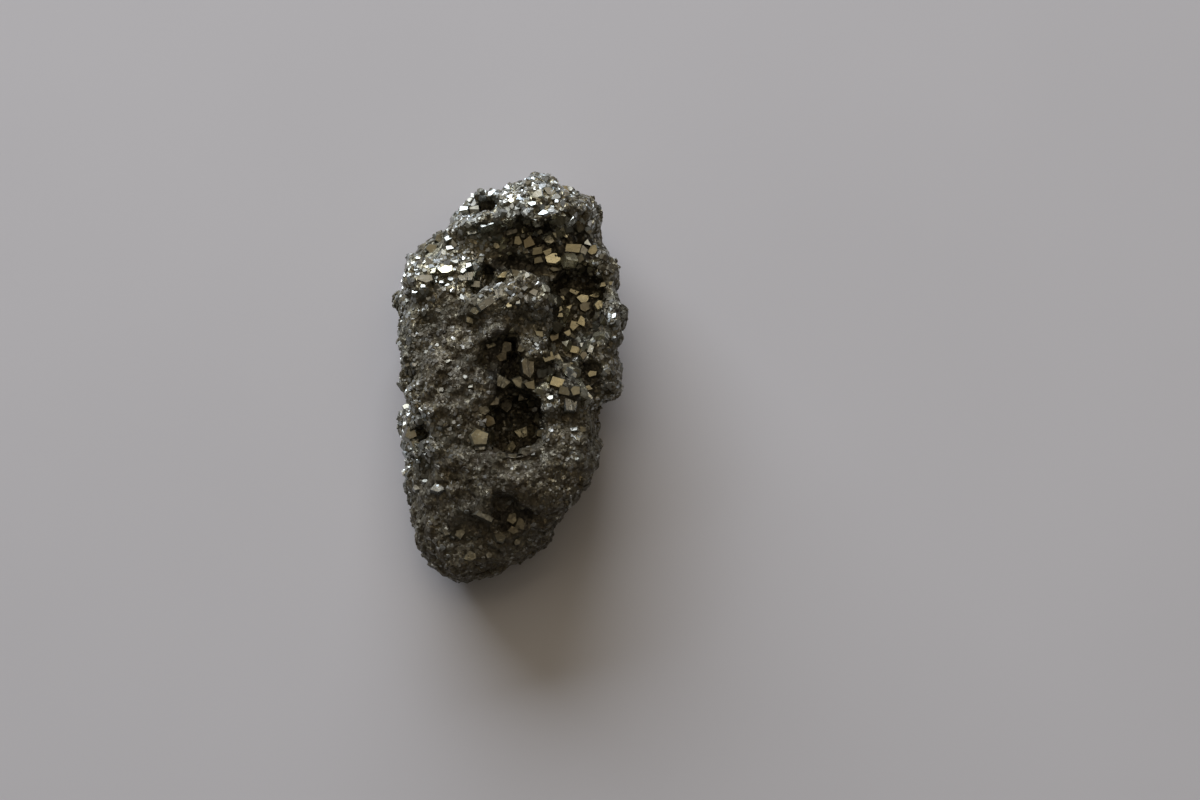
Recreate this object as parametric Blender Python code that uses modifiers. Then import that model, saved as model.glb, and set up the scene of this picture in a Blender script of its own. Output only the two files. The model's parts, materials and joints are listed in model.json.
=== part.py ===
"""Pyrite specimen: one lump of intergrown brassy crystals, with open vugs on its upper side.

The specimen formed as one piece, so it is one solid. Its body is a stack of outline rings that are
bridged into a rough pebble. Rounded masses are joined to it, vugs and clefts are carved out of it,
and knobs of crystal roughen the skin. Its foot is a flat broken face.

Frame: +X across the width, +Y along the length, +Z up, origin on the ground under the middle.
"""

import math

import bmesh
import bpy
from mathutils import Matrix, Vector

MM = 0.001
NAME = "pyrite_cluster"

# Driving dimensions, in millimetres
LENGTH = 49.8
WIDTH = 28.9
HEIGHT = 19.6

# How finely the joined masses are merged, how rough the skin is, and how many faces are kept
SKIN_VOXEL = 0.45
CUTTER_VOXEL = 0.3
BALL_SUBDIVISIONS = 4
SMOOTHING_PASSES, SMOOTHING_FACTOR = 1, 0.5
KNOB_SPACING, KNOB_HEIGHT = 3.2, 0.75
CRYSTAL_SPACING, CRYSTAL_HEIGHT = 1.5, 0.45
# The share of a knob's height that stays at the old level of the skin
KNOB_LEVEL = 0.45
KEPT_FACES = 7600

BRASS_GREY = (0.47, 0.41, 0.30, 1.0)
ROUGHNESS = 0.38

# The plan outline, clockwise from the crown's tip: x, y in millimetres about the middle
OUTLINE = (
    (3.1, 24.5), (5.6, 23.6), (8.0, 23.0), (9.2, 21.2), (11.1, 18.5), (11.5, 16.0),
    (12.4, 14.2), (12.7, 11.6), (14.2, 8.8), (14.2, 7.1), (13.3, 5.0), (13.3, 2.0),
    (13.6, 0.1), (12.8, -1.7), (11.2, -2.8), (10.6, -4.9), (11.0, -7.6), (10.9, -10.3),
    (9.8, -12.4), (8.2, -14.1), (6.7, -15.8), (6.2, -17.8), (4.3, -20.0), (1.9, -21.7),
    (-1.1, -23.2), (-3.2, -23.8), (-6.5, -24.6), (-8.3, -23.3), (-9.6, -21.4), (-10.7, -20.9),
    (-11.3, -18.2), (-11.8, -15.4), (-12.7, -13.0), (-12.5, -10.0), (-13.1, -7.3), (-12.8, -3.8),
    (-11.8, -2.3), (-12.1, -0.2), (-13.0, 1.4), (-13.1, 4.4), (-13.9, 7.7), (-14.2, 9.8),
    (-13.1, 12.2), (-12.6, 13.6), (-10.9, 14.9), (-9.7, 15.2), (-8.6, 17.5), (-7.1, 18.7),
    (-5.4, 20.4), (-3.1, 22.4), (-0.4, 22.8), (0.8, 23.9),
)

# The body's rings: height, share of the outline's size, and how far the ring is moved in plan
RINGS = (
    (-1.5, 0.50, (-1.6, 0.9)),
    (1.0, 0.68, (-1.3, 0.7)),
    (3.0, 0.89, (-0.7, 0.4)),
    (5.5, 1.005, (-0.1, 0.1)),
    (8.0, 1.01, (0.1, 0.0)),
    (10.3, 0.93, (0.4, 0.2)),
    (12.2, 0.79, (0.8, 0.5)),
    (13.6, 0.60, (1.0, 0.8)),
    (14.6, 0.36, (1.0, 1.0)),
)

# Rounded masses on the body: centre, radii, and turn about the vertical in degrees
MASSES = {
    "crown": ((3.6, 20.9, 7.2), (3.8, 3.5, 6.2), 0),
    "crown_neck": ((6.6, 18.4, 9.6), (3.2, 3.2, 5.8), 0),
    "crown_east": ((8.7, 19.0, 8.6), (2.5, 3.2, 5.6), 18),
    "crown_west": ((-0.8, 17.8, 9.0), (4.2, 2.7, 5.8), 24),
    "pocket_wall": ((-3.5, 20.6, 6.4), (2.9, 1.7, 6.6), 34),
    "northwest_saddle": ((-5.3, 16.4, 8.4), (3.7, 2.6, 5.2), 38),
    "northwest_ridge": ((-8.0, 10.0, 9.2), (5.4, 2.8, 5.4), 8),
    "northwest_lobe": ((-9.4, 15.0, 5.4), (2.3, 2.2, 3.6), 40),
    "central_knob": ((2.2, 8.4, 10.8), (4.4, 4.0, 6.3), -20),
    "knob_shoulder": ((-2.8, 7.4, 10.6), (4.0, 3.4, 6.2), -12),
    "west_shoulder": ((-7.0, 4.2, 9.2), (5.6, 4.8, 6.4), 0),
    "lower_shoulder": ((-6.2, -2.2, 8.8), (5.2, 5.2, 6.6), 0),
    "west_plateau": ((-5.4, -1.4, 11.2), (7.4, 12.8, 4.7), 0),
    "north_plateau": ((-6.0, 4.5, 11.9), (7.2, 8.2, 3.4), 0),
    "knob_south": ((-1.0, 4.4, 10.9), (4.6, 4.2, 5.6), 0),
    "south_plateau": ((0.6, -10.6, 10.7), (9.4, 8.8, 4.7), 0),
    "east_rim_north": ((11.5, 12.2, 8.6), (1.9, 3.6, 4.8), 10),
    "east_rim": ((12.4, 6.2, 8.8), (1.7, 4.6, 5.0), 0),
    "east_rim_south": ((11.9, -0.2, 8.2), (2.0, 3.0, 4.9), 0),
    "bridge": ((3.5, 2.4, 10.8), (2.2, 3.6, 5.8), -24),
    "bridge_east": ((7.3, -2.4, 9.8), (3.6, 2.6, 5.4), -20),
    "south_shoulder": ((-1.4, -12.2, 8.8), (7.8, 4.4, 5.7), -4),
    "southeast_lobe": ((8.0, -9.0, 8.8), (3.1, 5.2, 5.6), 0),
    "southwest_lobe": ((-10.0, -7.8, 6.8), (3.0, 4.2, 5.2), 0),
    "lower_west_lobe": ((-9.4, -13.6, 5.8), (3.2, 3.8, 4.8), 0),
    "south_tip": ((-5.2, -20.6, 4.8), (4.6, 3.7, 4.9), -10),
    "south_face": ((1.0, -18.4, 5.4), (4.9, 3.6, 5.6), 20),
}

# Flat lumps: centre, radii, turn and lean in degrees. Before its turn a lump faces +Y, or -Y where
# its lean is negative.
SLOPES = {
    "crown_slope": ((3.6, 20.6, 13.9), (3.7, 4.2, 1.7), 12, 35),
    "crown_slope_west": ((0.4, 20.6, 12.9), (2.0, 2.6, 1.5), 20, 36),
    "pocket_rim": ((-2.0, 18.0, 13.9), (3.6, 1.7, 1.4), 17, 36),
    "saddle_slope": ((-5.6, 17.0, 12.2), (2.2, 1.8, 1.4), 36, 34),
    "knob_top": ((2.3, 8.9, 15.9), (4.0, 3.4, 1.7), -10, -14),
    "knob_flank": ((-2.9, 8.6, 14.9), (2.6, 2.0, 1.3), 34, 30),
    "northwest_slope": ((-7.9, 11.3, 13.6), (5.3, 3.0, 1.7), 9, 36),
    "northwest_lobe_slope": ((-10.5, 13.5, 9.8), (2.3, 2.0, 1.6), 24, 36),
}

# Rounded hollows carved out of it, in the same terms
HOLLOWS = {
    "main_vug": ((0.9, -6.0, 14.0), (3.1, 3.2, 7.6), 0),
    "main_vug_west": ((-0.8, -7.7, 15.0), (1.7, 1.4, 4.6), 30),
    "slit": ((0.7, 0.9, 16.0), (0.7, 4.2, 6.0), 9),
    "slit_side": ((-1.4, 1.0, 17.2), (2.0, 3.0, 3.4), 0),
    "cleft": ((-2.7, 11.2, 16.6), (1.0, 2.6, 6.2), -34),
    "moat": ((0.6, 13.0, 16.2), (4.4, 1.1, 5.0), -6),
    "moat_east": ((4.6, 11.9, 15.6), (2.6, 1.3, 4.6), -24),
    "trough_west": ((-0.6, 13.9, 18.0), (4.6, 2.2, 5.0), 6),
    "trough_head": ((4.8, 14.0, 17.4), (4.4, 3.2, 5.0), -8),
    "trough_bend": ((8.4, 10.0, 16.2), (3.4, 3.3, 6.4), -20),
    "trough_floor": ((7.6, 10.6, 13.0), (3.2, 1.1, 4.6), 0),
    "trough_east": ((8.6, 7.0, 15.4), (2.9, 4.2, 6.6), 8),
    "trough_foot": ((7.4, 3.2, 15.6), (2.5, 2.8, 5.6), 0),
    "trough_end": ((9.8, -0.2, 15.8), (1.9, 1.8, 4.4), 0),
    "crown_pocket": ((-2.6, 20.3, 14.0), (1.6, 1.1, 5.2), 14),
    "south_pocket": ((-0.2, -15.6, 15.4), (1.8, 1.2, 4.2), 24),
    "south_pocket_floor": ((0.8, -17.8, 14.4), (2.8, 2.2, 3.4), 10),
    "lower_pocket": ((-5.0, -18.6, 14.0), (3.6, 2.0, 2.6), 10),
    "west_notch": ((-10.2, -7.2, 13.0), (1.3, 0.9, 3.2), 0),
    "west_crack": ((-9.9, -11.4, 12.4), (2.6, 0.6, 3.2), -6),
    "west_gap": ((-13.4, -2.4, 7.6), (1.4, 0.7, 4.6), 0),
}

# Hollows with the flat walls of the crystals that line them: centre, half sizes, and turn
CRYSTAL_HOLLOWS = {
    "vug_corner": ((1.5, -4.9, 16.0), (2.3, 2.3, 7.6), -4),
    "vug_shaft": ((1.0, -6.2, 16.0), (2.6, 2.5, 8.0), 16),
    "trough_corner": ((7.4, 11.0, 17.6), (2.8, 1.4, 6.2), -18),
    "trough_bowl": ((8.4, 10.0, 16.4), (2.3, 2.0, 8.0), 32),
    "trough_channel": ((8.9, 7.4, 16.2), (2.1, 2.5, 7.6), -14),
    "slit_wall": ((0.6, 2.9, 17.6), (0.5, 1.8, 5.8), 12),
    "slit_step": ((0.6, -1.2, 17.8), (0.8, 1.5, 4.8), -20),
    "moat_wall": ((1.7, 12.6, 17.2), (3.8, 0.9, 5.2), -8),
    "south_pocket_wall": ((-0.2, -15.2, 17.0), (1.2, 0.8, 4.4), 20),
}


def clear_scene():
    for obj in list(bpy.data.objects):
        bpy.data.objects.remove(obj, do_unlink=True)


def make_collection(name):
    collection = bpy.data.collections.new(name)
    bpy.context.scene.collection.children.link(collection)
    return collection


def make_material(name, colour, roughness):
    material = bpy.data.materials.new(name)
    material.use_nodes = True
    shader = material.node_tree.nodes["Principled BSDF"]
    shader.inputs["Base Color"].default_value = colour
    shader.inputs["Metallic"].default_value = 1.0
    shader.inputs["Roughness"].default_value = roughness
    return material


def add_body(bm):
    """The pebble under the masses: outline rings, bridged one to the next and closed at both ends."""
    rings = []
    for height, share, (shift_x, shift_y) in RINGS:
        verts = [
            bm.verts.new(Vector((x * share + shift_x, y * share + shift_y, height)) * MM)
            for x, y in reversed(OUTLINE)
        ]
        rings.append([bm.edges.new((verts[i - 1], verts[i])) for i in range(len(verts))])
    for lower, upper in zip(rings, rings[1:]):
        bmesh.ops.bridge_loops(bm, edges=lower + upper)
    bmesh.ops.contextual_create(bm, geom=rings[0])
    bmesh.ops.contextual_create(bm, geom=rings[-1])
    bmesh.ops.recalc_face_normals(bm, faces=bm.faces)


def place(centre, radii, turn, lean=0):
    """The matrix that makes a unit ball or block into a mass or hollow at its place."""
    stretch = Matrix.Diagonal(Vector(radii) * MM).to_4x4()
    return (
        Matrix.Translation(Vector(centre) * MM)
        @ Matrix.Rotation(math.radians(turn), 4, "Z")
        @ Matrix.Rotation(math.radians(-lean), 4, "X")
        @ stretch
    )


def add_balls(bm, shapes):
    for shape in shapes.values():
        bmesh.ops.create_icosphere(
            bm, subdivisions=BALL_SUBDIVISIONS, radius=1.0, matrix=place(*shape)
        )


def add_blocks(bm, shapes):
    for shape in shapes.values():
        bmesh.ops.create_cube(bm, size=2.0, matrix=place(*shape))


def new_object(name, collection, bm):
    mesh = bpy.data.meshes.new(name)
    bm.to_mesh(mesh)
    bm.free()
    obj = bpy.data.objects.new(name, mesh)
    collection.objects.link(obj)
    return obj


def body_object(name, collection):
    """The body and its masses in one mesh. They overlap until the skin's voxels merge them."""
    bm = bmesh.new()
    add_body(bm)
    add_balls(bm, MASSES)
    add_balls(bm, SLOPES)
    return new_object(name, collection, bm)


def hollows_object(collection):
    """All the hollows as one cutter."""
    bm = bmesh.new()
    add_balls(bm, HOLLOWS)
    add_blocks(bm, CRYSTAL_HOLLOWS)
    cutter = new_object("hollows", collection, bm)
    remesh(cutter, CUTTER_VOXEL)
    settle_modifiers(cutter)
    return cutter


def remesh(obj, voxel):
    modifier = obj.modifiers.new("skin", "REMESH")
    modifier.mode = "VOXEL"
    modifier.voxel_size = voxel * MM


def smooth(obj):
    modifier = obj.modifiers.new("soften", "SMOOTH")
    modifier.factor = SMOOTHING_FACTOR
    modifier.iterations = SMOOTHING_PASSES


def knobs(obj, name, spacing, height):
    """Raises rounded knobs of crystal, one to each cell of the given spacing."""
    texture = bpy.data.textures.new(name, "VORONOI")
    texture.noise_scale = spacing * MM
    texture.noise_intensity = 1.0
    modifier = obj.modifiers.new(name, "DISPLACE")
    modifier.texture = texture
    modifier.texture_coords = "LOCAL"
    modifier.direction = "NORMAL"
    modifier.strength = -height * MM
    modifier.mid_level = KNOB_LEVEL


def carve(obj, cutter):
    modifier = obj.modifiers.new("carve_" + cutter.name, "BOOLEAN")
    modifier.operation = "DIFFERENCE"
    modifier.object = cutter


def ground_block(collection):
    """Everything under the ground: cutting it away leaves the flat face that the specimen rests on."""
    bm = bmesh.new()
    bmesh.ops.create_cube(bm, size=1.0)
    size = Matrix.Diagonal((2 * WIDTH * MM, 2 * LENGTH * MM, 2 * HEIGHT * MM, 1.0))
    bm.transform(Matrix.Translation((0, 0, -HEIGHT * MM)) @ size)
    return new_object("ground_block", collection, bm)


def hide_cutter(obj):
    obj.hide_render = True
    obj.display_type = "WIRE"


def evaluated_copy(obj):
    """A plain mesh of the object as its modifiers leave it."""
    graph = bpy.context.evaluated_depsgraph_get()
    return bpy.data.meshes.new_from_object(obj.evaluated_get(graph))


def settle_modifiers(obj):
    mesh = evaluated_copy(obj)
    obj.modifiers.clear()
    obj.data = mesh


def thin_to(obj, faces):
    modifier = obj.modifiers.new("thin", "DECIMATE")
    modifier.ratio = min(1.0, faces / triangle_count(obj.data))
    modifier.use_collapse_triangulate = True


def triangle_count(mesh):
    mesh.calc_loop_triangles()
    return len(mesh.loop_triangles)


def fit_to_size(mesh):
    """Stretches the skin to the driving dimensions, keeping the foot on the ground."""
    low = Vector([min(v.co[i] for v in mesh.vertices) for i in range(3)])
    high = Vector([max(v.co[i] for v in mesh.vertices) for i in range(3)])
    size = high - low
    middle = (low + high) / 2
    scale = Matrix.Diagonal(
        (WIDTH * MM / size.x, LENGTH * MM / size.y, HEIGHT * MM / high.z, 1.0)
    )
    mesh.transform(scale @ Matrix.Translation((-middle.x, -middle.y, 0)))


def build():
    clear_scene()
    specimen = make_collection("pyrite_specimen")
    cutters = make_collection("cutters")
    body = body_object(NAME, specimen)
    remesh(body, SKIN_VOXEL)
    smooth(body)
    settle_modifiers(body)
    hollows = hollows_object(cutters)
    hide_cutter(hollows)
    carve(body, hollows)
    settle_modifiers(body)
    remesh(body, SKIN_VOXEL)
    smooth(body)
    knobs(body, "knobs", KNOB_SPACING, KNOB_HEIGHT)
    knobs(body, "crystals", CRYSTAL_SPACING, CRYSTAL_HEIGHT)
    settle_modifiers(body)
    fit_to_size(body.data)
    remesh(body, SKIN_VOXEL)
    settle_modifiers(body)
    thin_to(body, KEPT_FACES)
    settle_modifiers(body)
    block = ground_block(cutters)
    hide_cutter(block)
    carve(body, block)
    body.data.materials.append(make_material("pyrite", BRASS_GREY, ROUGHNESS))


build()
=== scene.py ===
"""Pyrite specimen: the looks of one rough lump of brassy crystals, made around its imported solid.

The lump is a knobby mass of fine grains. Crystals grow on it: a crust of tiny ones all over, coarser
ones in patches, clean golden ones in its vugs, and large ones that each have a place of their own.
"""

import json
import math
from typing import NamedTuple

import bmesh
import bpy
import numpy as np
from bpy.props import FloatProperty, FloatVectorProperty, IntProperty, PointerProperty
from mathutils import Matrix, Vector
from mathutils.bvhtree import BVHTree

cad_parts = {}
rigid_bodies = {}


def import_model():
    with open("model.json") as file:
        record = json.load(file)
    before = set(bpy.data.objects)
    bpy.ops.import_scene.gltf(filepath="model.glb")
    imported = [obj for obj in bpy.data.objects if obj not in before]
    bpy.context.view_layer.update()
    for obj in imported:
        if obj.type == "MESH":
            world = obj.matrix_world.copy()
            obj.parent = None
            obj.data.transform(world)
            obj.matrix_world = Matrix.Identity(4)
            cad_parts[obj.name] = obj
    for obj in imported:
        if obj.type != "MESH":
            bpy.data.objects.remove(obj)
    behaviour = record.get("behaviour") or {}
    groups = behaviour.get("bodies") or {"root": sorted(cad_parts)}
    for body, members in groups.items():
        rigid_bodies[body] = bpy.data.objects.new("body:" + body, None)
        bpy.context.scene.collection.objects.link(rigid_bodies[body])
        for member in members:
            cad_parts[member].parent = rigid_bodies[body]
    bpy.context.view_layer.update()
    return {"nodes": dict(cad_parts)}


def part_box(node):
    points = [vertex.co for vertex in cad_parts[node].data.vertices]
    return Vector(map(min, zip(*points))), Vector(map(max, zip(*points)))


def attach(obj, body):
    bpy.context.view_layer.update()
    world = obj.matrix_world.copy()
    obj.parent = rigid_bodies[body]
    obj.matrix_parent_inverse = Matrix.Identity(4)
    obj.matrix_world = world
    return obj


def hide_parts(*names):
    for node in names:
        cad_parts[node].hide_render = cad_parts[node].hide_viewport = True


bl_info = {
    "name": "Pyrite specimen",
    "version": (1, 0, 0),
    "blender": (4, 5, 0),
    "location": "View3D > Sidebar > Pyrite",
    "description": "Makes a pyrite specimen's grains, crystals and finishes around its solid",
    "category": "Add Mesh",
}

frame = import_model()

MM = 0.001
NODE = "pyrite_cluster"
BODY = "root"
MASS = "pyrite_mass"
LOW, HIGH = (Vector(corner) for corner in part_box(NODE))
# How far crystals may stand out of the solid's box, as a share of its sides
PROUD = 0.02

# The camera's frame in pixels. Places in it are measured from its upper left corner.
FRAME_WIDTH, FRAME_HEIGHT = 1200, 800
PIXEL = 0.12 * MM
LENS, SENSOR = 55.0, 22.3
CAMERA_ELEVATION = math.radians(84.0)
CAMERA_DISTANCE = 0.355
CAMERA_TARGET = Vector((0.0109, -0.0028, 0.009))
CAMERA_BACK = Vector((0.0, -math.cos(CAMERA_ELEVATION), math.sin(CAMERA_ELEVATION)))
CAMERA_RIGHT = Vector((1.0, 0.0, 0.0))
CAMERA_UP = CAMERA_BACK.cross(CAMERA_RIGHT)
CAMERA_PLACE = CAMERA_TARGET + CAMERA_BACK * CAMERA_DISTANCE


def way(azimuth, elevation):
    """The way from the lump to a light, by its compass bearing from +Y and its height, in degrees."""
    turn, rise = math.radians(azimuth), math.radians(elevation)
    return Vector((math.cos(rise) * math.sin(turn), math.cos(rise) * math.cos(turn), math.sin(rise)))


LIGHT_WAYS = {"window": way(-17, 21), "card": way(-25, 60), "overhead": way(60, 72)}


# ----- Node trees as expressions -----


def operator(operation, reflected=False):
    """A method that adds one operation's node. A reflected one has its operands the other way round."""

    def method(self, other):
        operands = (other, self) if reflected else (self, other)
        return self.graph.maths(operation, *operands)

    return method


class Signal:
    """A socket in an expression. Its operators add the Math or Vector Math nodes that work it out."""

    def __init__(self, graph, socket):
        self.graph = graph
        self.socket = socket

    def other(self, key):
        """Another output of the same node."""
        return Signal(self.graph, self.socket.node.outputs[key])

    __add__, __radd__ = operator("ADD"), operator("ADD", reflected=True)
    __sub__, __rsub__ = operator("SUBTRACT"), operator("SUBTRACT", reflected=True)
    __mul__, __rmul__ = operator("MULTIPLY"), operator("MULTIPLY", reflected=True)
    __truediv__, __rtruediv__ = operator("DIVIDE"), operator("DIVIDE", reflected=True)
    __pow__ = operator("POWER")
    __gt__ = operator("GREATER_THAN")


class Graph:
    """A node tree, for a material or for geometry, that is written as expressions."""

    def __init__(self, tree):
        self.tree = tree

    def add(self, kind, sockets=None, settings=None, key=0):
        """One output of a new node. Its settings are set first, then its sockets, by name or number."""
        node = self.tree.nodes.new(kind)
        for name, value in (settings or {}).items():
            setattr(node, name, value)
        for name, value in (sockets or {}).items():
            self.feed(node.inputs[name], value)
        return Signal(self, node.outputs[key])

    def feed(self, socket, value):
        """Links a signal to a socket, or sets the socket's own value."""
        if isinstance(value, Signal):
            self.tree.links.new(value.socket, socket)
        elif isinstance(value, (int, float)) and socket.type == "VECTOR":
            socket.default_value = (value, value, value)
        else:
            socket.default_value = value

    def maths(self, operation, *values):
        """The result of one operation: on vectors if any value is one, otherwise on numbers."""
        vector = any(isinstance(v, Signal) and v.socket.type == "VECTOR" for v in values)
        kind = "ShaderNodeVectorMath" if vector else "ShaderNodeMath"
        return self.add(kind, dict(enumerate(values)), {"operation": operation})

    def dot(self, a, b):
        return self.add("ShaderNodeVectorMath", {0: a, 1: b}, {"operation": "DOT_PRODUCT"}, "Value")

    def parts(self, vector):
        first = self.add("ShaderNodeSeparateXYZ", {0: vector})
        return [first.other(axis) for axis in range(3)]

    def ramp(self, value, start, end, low=0.0, high=1.0):
        """Carries value from start..end to low..high, and holds it there at both ends."""
        sockets = {"Value": value, "From Min": start, "From Max": end, "To Min": low, "To Max": high}
        return self.add("ShaderNodeMapRange", sockets, {"clamp": True})

    def mix(self, factor, a, b):
        """Colour a where factor is 0, and colour b where it is 1."""
        return self.add("ShaderNodeMix", {0: factor, 6: a, 7: b}, {"data_type": "RGBA"}, 2)

    def noise(self, place, size, detail=2.0, roughness=0.5):
        sockets = {"Vector": place, "Scale": 1.0 / size, "Detail": detail, "Roughness": roughness}
        return self.add("ShaderNodeTexNoise", sockets)

    def cells(self, place, size):
        """Each point's cell, of that size: three chances that the cell keeps, and the place in it."""
        sockets = {"Vector": place, "Scale": 1.0 / size}
        colour = self.add("ShaderNodeTexVoronoi", sockets, {"feature": "F1"}, "Color")
        chances = self.add("ShaderNodeVectorMath", {0: colour, 1: 0.0}, {"operation": "ADD"})
        return chances, place - colour.other("Position")

    def tilted(self, chances, inside):
        """The height of a cell's flat facet, which is tilted its own way."""
        return self.dot(inside, chances * 2.0 - 1.0)

    def facets(self, place, size):
        """The height of flat facets of that size, in the units of place."""
        return self.tilted(*self.cells(place, size))

    def attribute(self, name, key="Fac"):
        return self.add("ShaderNodeAttribute", settings={"attribute_name": name}, key=key)

    def own_place(self):
        return self.add("ShaderNodeTexCoord", key="Object")


class GeometryGraph(Graph):
    """A geometry node tree with named inputs."""

    def __init__(self, name):
        super().__init__(bpy.data.node_groups.new(name, "GeometryNodeTree"))
        self.tree.is_modifier = True
        self.source = self.tree.nodes.new("NodeGroupInput")
        self.result = self.tree.nodes.new("NodeGroupOutput")
        for side in ("INPUT", "OUTPUT"):
            self.tree.interface.new_socket("Geometry", in_out=side, socket_type="NodeSocketGeometry")
        self.surface = Signal(self, self.source.outputs["Geometry"])

    def inputs(self, *names, kind="Float"):
        """New inputs, one for each name."""
        for name in names:
            self.tree.interface.new_socket(name, in_out="INPUT", socket_type="NodeSocket" + kind)
        return [Signal(self, self.source.outputs[name]) for name in names]

    def named(self, attribute, kind="FLOAT"):
        return self.add("GeometryNodeInputNamedAttribute", {"Name": attribute}, {"data_type": kind})

    def chance(self, low, high, seed, kind="FLOAT"):
        """A random value between low and high for each point or instance."""
        first, result = {"FLOAT_VECTOR": (0, 0), "FLOAT": (2, 1), "INT": (4, 2)}[kind]
        sockets = {first: low, first + 1: high, "Seed": seed}
        return self.add("FunctionNodeRandomValue", sockets, {"data_type": kind}, result)

    def finish(self, geometry, material):
        """Ends the tree: its geometry is made plain and takes the material."""
        realized = self.add("GeometryNodeRealizeInstances", {"Geometry": geometry})
        finished = self.add("GeometryNodeSetMaterial", {"Geometry": realized, "Material": material})
        self.feed(self.result.inputs["Geometry"], finished)
        return self.tree


def with_tree(obj, tree, values):
    """The plain mesh that the tree makes of obj. Each value is set by its socket's identifier."""
    modifier = obj.modifiers.new(tree.name, "NODES")
    modifier.node_group = tree
    for item in tree.interface.items_tree:
        if item.in_out == "INPUT" and item.name in values:
            modifier[item.identifier] = values[item.name]
    return settled(obj)


def settled(obj):
    """The object's mesh as its modifiers leave it. The modifiers are removed."""
    graph = bpy.context.evaluated_depsgraph_get()
    mesh = bpy.data.meshes.new_from_object(obj.evaluated_get(graph), depsgraph=graph)
    obj.modifiers.clear()
    return mesh


def values_of(sizes):
    """A property group's values, under the names of the trees' inputs that they are for."""
    return {name.replace("_", " ").title(): getattr(sizes, name) for name in sizes.__annotations__}


# ----- Finishes -----

# How rough the mass's smoothest and roughest grains are, the dullest and cleanest crystals, and what
# the film adds
MASS_ROUGHNESS = (0.36, 0.62)
CRUST_ROUGHNESS = (0.58, 0.3)
DRUSE_ROUGHNESS = (0.5, 0.22)
VUG_ROUGHNESS = (0.4, 0.12)
LARGE_ROUGHNESS = (0.34, 0.16)
FILM_ROUGHNESS = 0.15

# Growth lines: the depth of the grooves in millimetres, and how closely they lie on a crystal
FINE_LINES = (0.006, 85.0)
VUG_LINES = (0.02, 60.0)
LARGE_LINES = (0.035, 34.0)
COARSE_LINES = 0.37
LINE_EDGES = (-0.6, 1.6)
# How much painted shade darkens a crystal's colour in its grooves
PAINTED_GROOVE_SHADE = 0.6

# Where in its noise each stain starts and is whole, and how strong or wide it is
BLOTCH_EDGES, BLOTCH_STRENGTH = (0.42, 0.62), 0.55
SPECK_EDGES, SPECK_SIZE = (0.5, 0.7), 0.8 * MM
SPECKS_BARE, SPECKS_FILMED = 0.3, 1.6
FILM_EDGES, FILM_GRAIN, FILM_THINNEST = (0.38, 0.56), 1.6 * MM, 0.6
SMUDGE_SIZE, SMUDGE_STRENGTH = 0.6 * MM, 0.5
SMUDGE_EDGES = (0.2, 1.3)

# Relief that is too fine for the mesh, as slopes, and the widths of its facets
GRAIN_RELIEF, SPECKLE_RELIEF, SPECKLE_WIDTH = 0.5, 0.3, 0.42
FACE_RELIEF, FILMED_FACE_RELIEF, FACE_GRAIN = 0.05, 0.3, 0.45 * MM
# How much painted shade, in the dirt's colour, darkens the mass in its hollows
PAINTED_HOLLOW_SHADE = 0.75


def opaque(colour):
    return (*colour, 1.0)


def metal(name, finish):
    """A material. finish(graph) gives its colour, how metallic and how rough it is, and its height."""
    material = bpy.data.materials.new(name)
    material.use_nodes = True
    graph = Graph(material.node_tree)
    shader = material.node_tree.nodes["Principled BSDF"]
    colour, metallic, roughness, height = finish(graph)
    graph.feed(shader.inputs["Base Color"], colour)
    graph.feed(shader.inputs["Metallic"], metallic)
    graph.feed(shader.inputs["Roughness"], roughness)
    bump = graph.add("ShaderNodeBump", {"Strength": 1.0, "Distance": 1.0, "Height": height})
    graph.feed(shader.inputs["Normal"], bump)
    return material


def stained(graph, place, look, colour):
    """Lays a steel-blue cast in blotches, specks of dirt and the brown film over a colour. In its heavy
    zones the film is also painted shade.

    Gives the colour, and how metallic it still is: the film isn't a metal.
    """
    film = graph.attribute("film")
    blotches = graph.ramp(graph.noise(place, look.blotch_size, 3.0, 0.6), *BLOTCH_EDGES)
    colour = graph.mix(blotches * BLOTCH_STRENGTH, colour, opaque(look.steel))
    specks = graph.ramp(graph.noise(place, SPECK_SIZE, 4.0, 0.65), *SPECK_EDGES)
    dirty = specks * (film * SPECKS_FILMED + SPECKS_BARE) * look.dirtiness
    colour = graph.mix(dirty, colour, opaque(look.dirt))
    patches = graph.ramp(graph.noise(place, FILM_GRAIN, 4.0, 0.7), *FILM_EDGES, FILM_THINNEST, 1.0)
    # The film's darkening: real tarnish, and painted shade where its zones lie in shade
    filmed_and_shaded = film * patches
    return graph.mix(filmed_and_shaded, colour, opaque(look.film)), 1.0 - filmed_and_shaded * look.film_dullness


def grain_finish(look):
    """The fine-grained mass: a mosaic of tiny facets, grey-blue in some blotches and olive in others, with
    painted shade in its hollows.
    """

    def finish(graph):
        place = graph.own_place()
        chances, inside = graph.cells(place, look.grain_size)
        first, second, _ = graph.parts(chances)
        colour = graph.mix(first * first, opaque(look.crust_dull), opaque(look.grey_brass))
        colour, metallic = stained(graph, place, look, colour)
        roughness = graph.ramp(second, 0.0, 1.0, *MASS_ROUGHNESS)
        speckle = graph.facets(place, look.grain_size * SPECKLE_WIDTH)
        height = graph.tilted(chances, inside) * GRAIN_RELIEF + speckle * SPECKLE_RELIEF
        # Painted shade: the vugs and bare hollows darken toward the dirt's colour
        colour = graph.mix(graph.attribute("hollow") * PAINTED_HOLLOW_SHADE, colour, opaque(look.dirt))
        return colour, metallic, roughness, height

    return finish


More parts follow.
